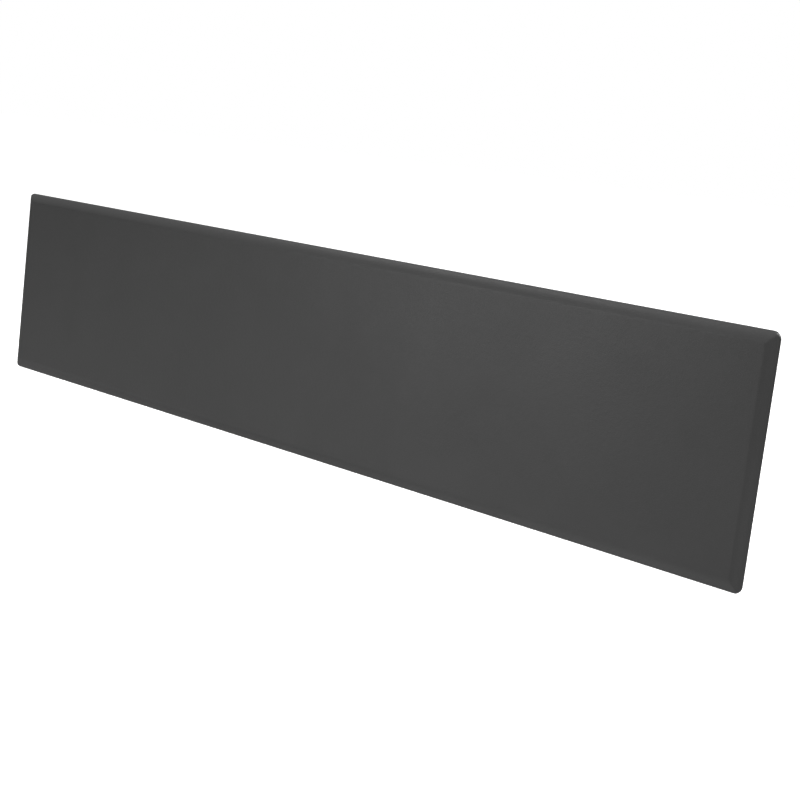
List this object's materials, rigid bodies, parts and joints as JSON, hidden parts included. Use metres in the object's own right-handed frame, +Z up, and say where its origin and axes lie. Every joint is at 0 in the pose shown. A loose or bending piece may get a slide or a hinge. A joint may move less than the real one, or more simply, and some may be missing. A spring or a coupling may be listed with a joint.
{
  "type": "door kick plate",
  "caption": "Long bevelled rectangular plastic plate with rounded corners and no visible fixings, stuck to the foot of a door by foam tape to protect it from kicks.",
  "frame": {"origin": "middle of the plane offered up to the door, which is the outer face of the release liners", "axes": "+X along the plate, to the right as seen from in front; +Y from the plate's front face towards the door; +Z up the door"},
  "size_m": [0.735, 0.0044, 0.15],
  "materials": {
    "plate_plastic": "fine-grained satin moulding, charcoal grey",
    "foam_tape": "closed-cell foam with a tacky adhesive coat, pale grey",
    "liner_paper": "smooth silicone-coated release paper, off-white"
  },
  "bodies": {
    "root": {"kick_plate": "plate_plastic", "foam_tape_top": "foam_tape", "foam_tape_bottom": "foam_tape", "foam_tape_left_end": "foam_tape", "foam_tape_left_middle": "foam_tape", "foam_tape_centre": "foam_tape", "foam_tape_right_middle": "foam_tape", "foam_tape_right_end": "foam_tape", "release_liner_top": "liner_paper", "release_liner_bottom": "liner_paper", "release_liner_left_end": "liner_paper", "release_liner_left_middle": "liner_paper", "release_liner_centre": "liner_paper", "release_liner_right_middle": "liner_paper", "release_liner_right_end": "liner_paper"}
  },
  "joints": []
}
